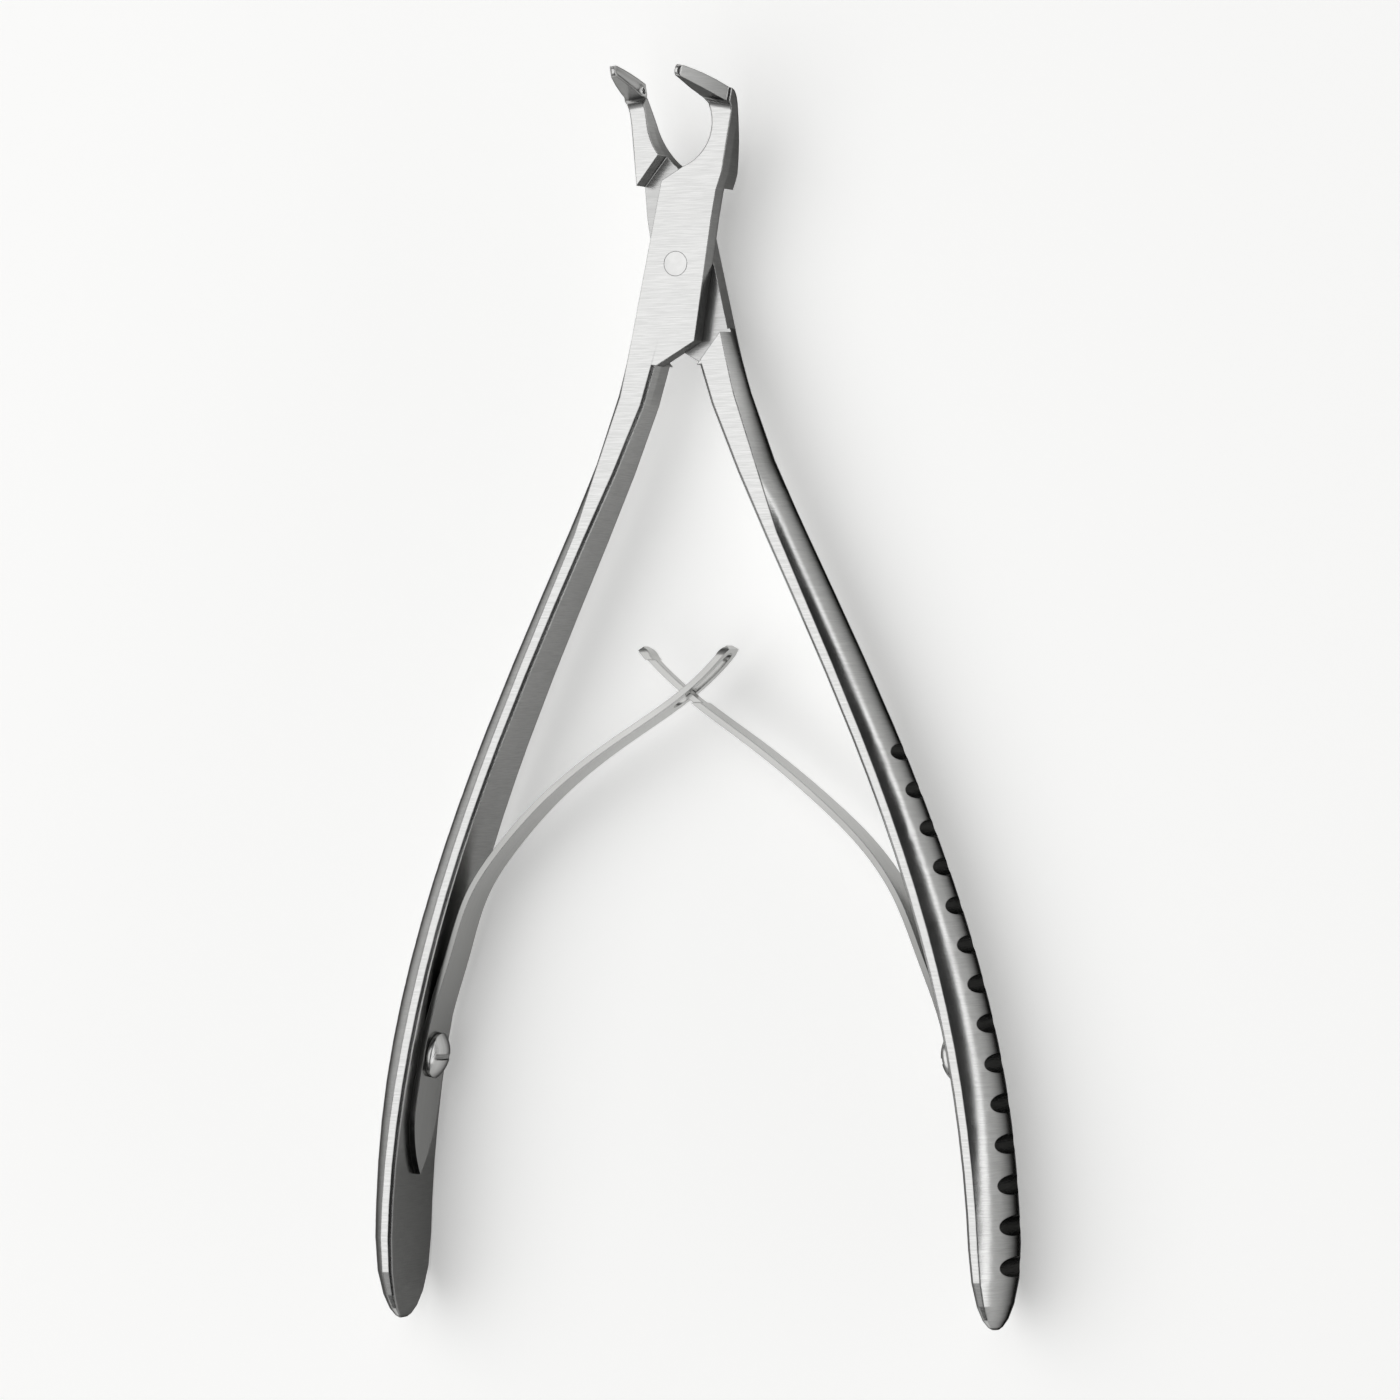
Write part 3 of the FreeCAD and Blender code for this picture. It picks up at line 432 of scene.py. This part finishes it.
def domed_head(tree, given):
    """Rim with a dome on it, which is part of a ball as high as the dome and as wide as the head."""
    rim = add(tree, "GeometryNodeMeshCylinder", {
        "Vertices": 72, "Side Segments": 1, "Fill Segments": 12,
        "Radius": given["Head radius"], "Depth": given["Rim height"]})
    wide = add(tree, "ShaderNodeMath", {0: given["Head radius"], 1: 2.0}, operation="POWER")
    high = add(tree, "ShaderNodeMath", {0: given["Dome height"], 1: 2.0}, operation="POWER")
    squares = add(tree, "ShaderNodeMath", {0: wide.outputs[0], 1: high.outputs[0]}, operation="ADD")
    twice = add(tree, "ShaderNodeMath", {0: given["Dome height"], 1: 2.0}, operation="MULTIPLY")
    ball = add(tree, "ShaderNodeMath", {0: squares.outputs[0], 1: twice.outputs[0]}, operation="DIVIDE")
    ball_square = add(tree, "ShaderNodeMath", {0: ball.outputs[0], 1: 2.0}, operation="POWER")
    spot = add(tree, "ShaderNodeSeparateXYZ", {0: add(tree, "GeometryNodeInputPosition").outputs[0]}).outputs
    x_square = add(tree, "ShaderNodeMath", {0: spot["X"], 1: 2.0}, operation="POWER")
    y_square = add(tree, "ShaderNodeMath", {0: spot["Y"], 1: 2.0}, operation="POWER")
    out = add(tree, "ShaderNodeMath", {0: x_square.outputs[0], 1: y_square.outputs[0]}, operation="ADD")
    rest = add(tree, "ShaderNodeMath", {0: ball_square.outputs[0], 1: out.outputs[0]}, operation="SUBTRACT")
    height = add(tree, "ShaderNodeMath", {0: rest.outputs[0]}, operation="SQRT")
    sunk = add(tree, "ShaderNodeMath", {0: ball.outputs[0], 1: given["Dome height"]}, operation="SUBTRACT")
    rise = add(tree, "ShaderNodeMath", {0: height.outputs[0], 1: sunk.outputs[0]}, operation="SUBTRACT")
    lift = add(tree, "ShaderNodeCombineXYZ", {"Z": rise.outputs[0]})
    top = add(tree, "ShaderNodeMath", {0: spot["Z"], 1: 0.0}, operation="GREATER_THAN")
    return add(tree, "GeometryNodeSetPosition", {
        "Geometry": rim.outputs["Mesh"], "Selection": top.outputs[0], "Offset": lift.outputs[0]})


def driver_slot(tree, given, head, half_rim):
    """The head with the driver's slot cut across it."""
    across = add(tree, "ShaderNodeMath", {0: given["Head radius"], 1: 4.0}, operation="MULTIPLY")
    deep = add(tree, "ShaderNodeMath", {0: given["Slot depth"], 1: 2.0}, operation="MULTIPLY")
    size = add(tree, "ShaderNodeCombineXYZ", {
        "X": across.outputs[0], "Y": given["Slot width"], "Z": deep.outputs[0]})
    blade = add(tree, "GeometryNodeMeshCube", {"Size": size.outputs[0]})
    top = add(tree, "ShaderNodeMath", {0: half_rim, 1: given["Dome height"]}, operation="ADD")
    blade_place = add(tree, "ShaderNodeCombineXYZ", {"Z": top.outputs[0]})
    blade = add(tree, "GeometryNodeTransform", {
        "Geometry": blade.outputs["Mesh"], "Translation": blade_place.outputs[0]})
    return add(tree, "GeometryNodeMeshBoolean", {"Mesh 1": head.outputs[0], "Mesh 2": blade.outputs[0]},
               operation="DIFFERENCE", solver="EXACT")


def round_head_screw_tree():
    """A round-head screw: rim, dome, driver's slot and shank, set on its place and turned to it."""
    tree = bpy.data.node_groups.new("slotted round-head screw", "GeometryNodeTree")
    given = screw_inlets(tree)
    half_rim = add(tree, "ShaderNodeMath", {0: given["Rim height"], 1: 0.5}, operation="MULTIPLY").outputs[0]
    head = driver_slot(tree, given, domed_head(tree, given), half_rim)
    lifted = add(tree, "ShaderNodeMath", {0: given["Seat"], 1: half_rim}, operation="ADD")
    head_place = add(tree, "ShaderNodeCombineXYZ", {"Z": lifted.outputs[0]})
    head = add(tree, "GeometryNodeTransform", {
        "Geometry": head.outputs["Mesh"], "Translation": head_place.outputs[0]})

    length = add(tree, "ShaderNodeMath", {0: given["Shank depth"], 1: given["Seat"]}, operation="ADD")
    shank = add(tree, "GeometryNodeMeshCylinder", {
        "Vertices": 40, "Radius": given["Shank radius"], "Depth": length.outputs[0]})
    span = add(tree, "ShaderNodeMath", {0: given["Seat"], 1: given["Shank depth"]}, operation="SUBTRACT")
    middle = add(tree, "ShaderNodeMath", {0: span.outputs[0], 1: 0.5}, operation="MULTIPLY")
    shank_place = add(tree, "ShaderNodeCombineXYZ", {"Z": middle.outputs[0]})
    shank = add(tree, "GeometryNodeTransform", {
        "Geometry": shank.outputs["Mesh"], "Translation": shank_place.outputs[0]})

    screw = add(tree, "GeometryNodeJoinGeometry", {0: head.outputs[0]})
    tree.links.new(shank.outputs[0], screw.inputs[0])
    point = add(tree, "GeometryNodePoints", {"Position": given["Place"]})
    set_screw = add(tree, "GeometryNodeInstanceOnPoints", {
        "Points": point.outputs[0], "Instance": screw.outputs[0], "Rotation": given["Turn"]})
    real = add(tree, "GeometryNodeRealizeInstances", {"Geometry": set_screw.outputs[0]})
    finish = add(tree, "GeometryNodeSetMaterial", {"Geometry": real.outputs[0], "Material": given["Finish"]})
    add(tree, "NodeGroupOutput", {"Geometry": finish.outputs[0]})
    return tree


def grown(name, tree, values):
    """A plain mesh that a tree makes from these values."""
    seed = bpy.data.objects.new(name + " seed", bpy.data.meshes.new(name + " seed"))
    bpy.context.scene.collection.objects.link(seed)
    maker = seed.modifiers.new("maker", "NODES")
    maker.node_group = tree
    for item in tree.interface.items_tree:
        if item.name in values:
            maker[item.identifier] = values[item.name]
    graph = bpy.context.evaluated_depsgraph_get()
    mesh = bpy.data.meshes.new_from_object(seed.evaluated_get(graph), depsgraph=graph)
    mesh.name = name
    bpy.data.objects.remove(seed)
    piece = bpy.data.objects.new(name, mesh)
    bpy.context.scene.collection.objects.link(piece)
    return piece


# Pieces

def soften(shape, sharp):
    """Smooth faces, but for the edges that turn more sharply than an angle in degrees."""
    for face in shape.faces:
        face.smooth = True
    for edge in shape.edges:
        edge.smooth = len(edge.link_faces) == 2 and edge.calc_face_angle() < math.radians(sharp)


def leaf_spring(node, material):
    """A merged copy of a leaf's CAD mesh, smooth but for its real edges."""
    name = node + "_polished"
    mesh = bpy.data.meshes.new(name)
    shape = bmesh.new()
    shape.from_mesh(NODES[node].data)
    bmesh.ops.remove_doubles(shape, verts=shape.verts, dist=0.0005 * MM)
    bmesh.ops.dissolve_degenerate(shape, edges=shape.edges, dist=0.0005 * MM)
    soften(shape, 32)
    shape.to_mesh(mesh)
    shape.free()
    mesh.materials.append(material)
    piece = bpy.data.objects.new(name, mesh)
    bpy.context.scene.collection.objects.link(piece)
    weights = piece.modifiers.new("weighted normals", "WEIGHTED_NORMAL")
    weights.keep_sharp = True
    weights.weight = 80
    return piece


def leaf_screw(side, sizes, tree, material):
    """A leaf screw on the left (-1) or right (1) handle, out of it towards the other handle."""
    lift = Vector((-side * math.cos(sizes.lean), -math.sin(sizes.lean), 0))
    # The driver's slot runs from front to back
    slot = Vector((0, 0, -1))
    turn = Matrix((slot, lift.cross(slot), lift)).transposed().to_euler()
    name = "left_spring_screw_domed" if side < 0 else "right_spring_screw_domed"
    piece = grown(name, tree, {
        "Head radius": sizes.head_diameter / 2, "Rim height": sizes.rim_height,
        "Dome height": sizes.head_height - sizes.rim_height, "Slot width": sizes.slot_width,
        "Slot depth": sizes.slot_depth, "Shank radius": sizes.shank_diameter / 2,
        "Shank depth": sizes.shank_depth, "Seat": sizes.seat,
        "Place": (side * sizes.aside, PIVOT.y - sizes.below_joint, PIVOT.z),
        "Turn": tuple(turn), "Finish": material})
    shape = bmesh.new()
    shape.from_mesh(piece.data)
    bmesh.ops.remove_doubles(shape, verts=shape.verts, dist=0.001 * MM)
    bmesh.ops.recalc_face_normals(shape, faces=shape.faces)
    soften(shape, 30)
    shape.to_mesh(piece.data)
    shape.free()
    return piece


class RONGEUR_OT_levers(Operator):
    """Both levers, ground and brushed"""
    bl_idname = "rongeur.levers"
    bl_label = "Levers"

    def execute(self, context):
        material = satin_steel("satin-brushed surgical stainless", context.scene.rongeur_steel, True)
        # The solids' own meshes are right as they are, and only take the finish
        for node in ("front_lever", "back_lever"):
            for slot in NODES[node].material_slots:
                slot.material = material
        return {"FINISHED"}


class RONGEUR_OT_screws(Operator):
    """Joint screw and the two leaf screws"""
    bl_idname = "rongeur.screws"
    bl_label = "Screws"

    def execute(self, context):
        material = satin_steel("fine-turned stainless screw", context.scene.rongeur_steel, False)
        for slot in NODES["pivot_screw"].material_slots:
            slot.material = material
        tree = round_head_screw_tree()
        for side, node, body in ((-1, "left_spring_screw", "front_lever"),
                                 (1, "right_spring_screw", "back_lever")):
            piece = leaf_screw(side, context.scene.rongeur_screws, tree, material)
            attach(piece, body)
            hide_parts(node)
        return {"FINISHED"}


class RONGEUR_OT_springs(Operator):
    """The two crossed leaf springs"""
    bl_idname = "rongeur.springs"
    bl_label = "Leaf springs"

    def execute(self, context):
        material = polished_spring_steel(context.scene.rongeur_steel)
        for node in ("left_leaf_spring", "right_leaf_spring"):
            piece = leaf_spring(node, material)
            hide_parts(node)
            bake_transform(piece)
        return {"FINISHED"}


# Studio

def paper_floor(side, material):
    """The square floor that the tool lies on."""
    half = side / 2
    mesh = bpy.data.meshes.new("floor")
    corners = [(-half, -half, 0), (half, -half, 0), (half, half, 0), (-half, half, 0)]
    mesh.from_pydata(corners, [], [(0, 1, 2, 3)])
    mesh.materials.append(material)
    floor = bpy.data.objects.new("floor", mesh)
    bpy.context.scene.collection.objects.link(floor)


def studio_walls(studio):
    """Walls that are light high up and on the left, and dark low down and on the right."""
    world = bpy.data.worlds.new("studio walls")
    world.use_nodes = True
    tree = world.node_tree
    tree.nodes.clear()
    around = add(tree, "ShaderNodeTexCoord").outputs["Generated"]
    way = add(tree, "ShaderNodeSeparateXYZ", {0: around}).outputs
    side = add(tree, "ShaderNodeMapRange", {
        "Value": way["X"], "From Min": -0.3, "From Max": 0.5,
        "To Min": studio.wall_left, "To Max": studio.wall_right})
    rise = add(tree, "ShaderNodeMapRange", {
        "Value": way["Z"], "From Min": 0.15, "From Max": 0.6, "To Min": studio.wall_foot, "To Max": 1.0})
    light = add(tree, "ShaderNodeMath", {0: side.outputs["Result"], 1: rise.outputs["Result"]},
                operation="MULTIPLY")
    back = add(tree, "ShaderNodeBackground", {"Color": light.outputs[0], "Strength": 1.0})
    add(tree, "ShaderNodeOutputWorld", {"Surface": back.outputs["Background"]})
    return world


def lamp(name, place, aim, size, power):
    """A flat lamp that faces a point."""
    light = bpy.data.lights.new(name, "AREA")
    light.shape = "RECTANGLE"
    light.size, light.size_y = size
    light.energy = power
    holder = bpy.data.objects.new(name, light)
    holder.location = place
    holder.rotation_euler = (Vector(aim) - Vector(place)).to_track_quat("-Z", "Y").to_euler()
    bpy.context.scene.collection.objects.link(holder)


def photo_camera(studio):
    """The camera at the photograph's angle."""
    camera = bpy.data.cameras.new("camera")
    camera.lens = camera.sensor_width * studio.distance / studio.frame_width
    camera.clip_start = 50 * MM
    holder = bpy.data.objects.new("camera", camera)
    bpy.context.scene.collection.objects.link(holder)
    away = Vector((math.sin(studio.azimuth), 0, math.cos(studio.azimuth)))
    right = Vector((math.cos(studio.azimuth), 0, -math.sin(studio.azimuth)))
    up = Vector((0, 1, 0))
    picture_right = right * math.cos(studio.roll) - up * math.sin(studio.roll)
    picture_up = right * math.sin(studio.roll) + up * math.cos(studio.roll)
    centre = Vector((0, PIVOT.y - studio.below_joint, PIVOT.z))
    place = centre + away * studio.distance + picture_right * studio.sideways
    for row in range(3):
        for column, axis in enumerate((picture_right, picture_up, away, place)):
            holder.matrix_world[row][column] = axis[row]
    return holder


class RONGEUR_OT_stage(Operator):
    """Floor, light and camera"""
    bl_idname = "rongeur.stage"
    bl_label = "Studio"

    def execute(self, context):
        scene = context.scene
        studio = scene.rongeur_studio
        paper_floor(studio.floor_side, matt_white_paper(studio))
        scene.world = studio_walls(studio)
        lamp("softbox", studio.softbox_place, (0, 0, 0), (studio.softbox_side, studio.softbox_side),
             studio.softbox_power)
        # The strip looks level across the tool, from its own height
        lamp("right strip", studio.strip_place, (0, 0, studio.strip_place[2]),
             (studio.strip_length, studio.strip_height), studio.strip_power)
        scene.camera = photo_camera(studio)
        scene.view_settings.view_transform = "Standard"
        return {"FINISHED"}


class RONGEUR_PT_panel(Panel):
    """Builds the rongeur's pieces and its studio"""
    bl_label = "Bone rongeur"
    bl_idname = "RONGEUR_PT_panel"
    bl_space_type = "VIEW_3D"
    bl_region_type = "UI"
    bl_category = "Rongeur"

    def draw(self, context):
        for operator in (RONGEUR_OT_levers, RONGEUR_OT_screws, RONGEUR_OT_springs, RONGEUR_OT_stage):
            self.layout.operator(operator.bl_idname)
        scene = context.scene
        for group in (scene.rongeur_steel, scene.rongeur_screws, scene.rongeur_studio):
            for name in group.bl_rna.properties.keys():
                if name not in ("rna_type", "name"):
                    self.layout.prop(group, name)


CLASSES = (RongeurSteel, RongeurScrews, RongeurStudio, RONGEUR_OT_levers, RONGEUR_OT_screws,
           RONGEUR_OT_springs, RONGEUR_OT_stage, RONGEUR_PT_panel)


def register():
    for kind in CLASSES:
        bpy.utils.register_class(kind)
    bpy.types.Scene.rongeur_steel = PointerProperty(type=RongeurSteel)
    bpy.types.Scene.rongeur_screws = PointerProperty(type=RongeurScrews)
    bpy.types.Scene.rongeur_studio = PointerProperty(type=RongeurStudio)


def unregister():
    del bpy.types.Scene.rongeur_studio
    del bpy.types.Scene.rongeur_screws
    del bpy.types.Scene.rongeur_steel
    for kind in reversed(CLASSES):
        bpy.utils.unregister_class(kind)


def main():
    register()
    bpy.ops.rongeur.levers()
    bpy.ops.rongeur.screws()
    bpy.ops.rongeur.springs()
    bpy.ops.rongeur.stage()


if __name__ == "__main__":
    main()
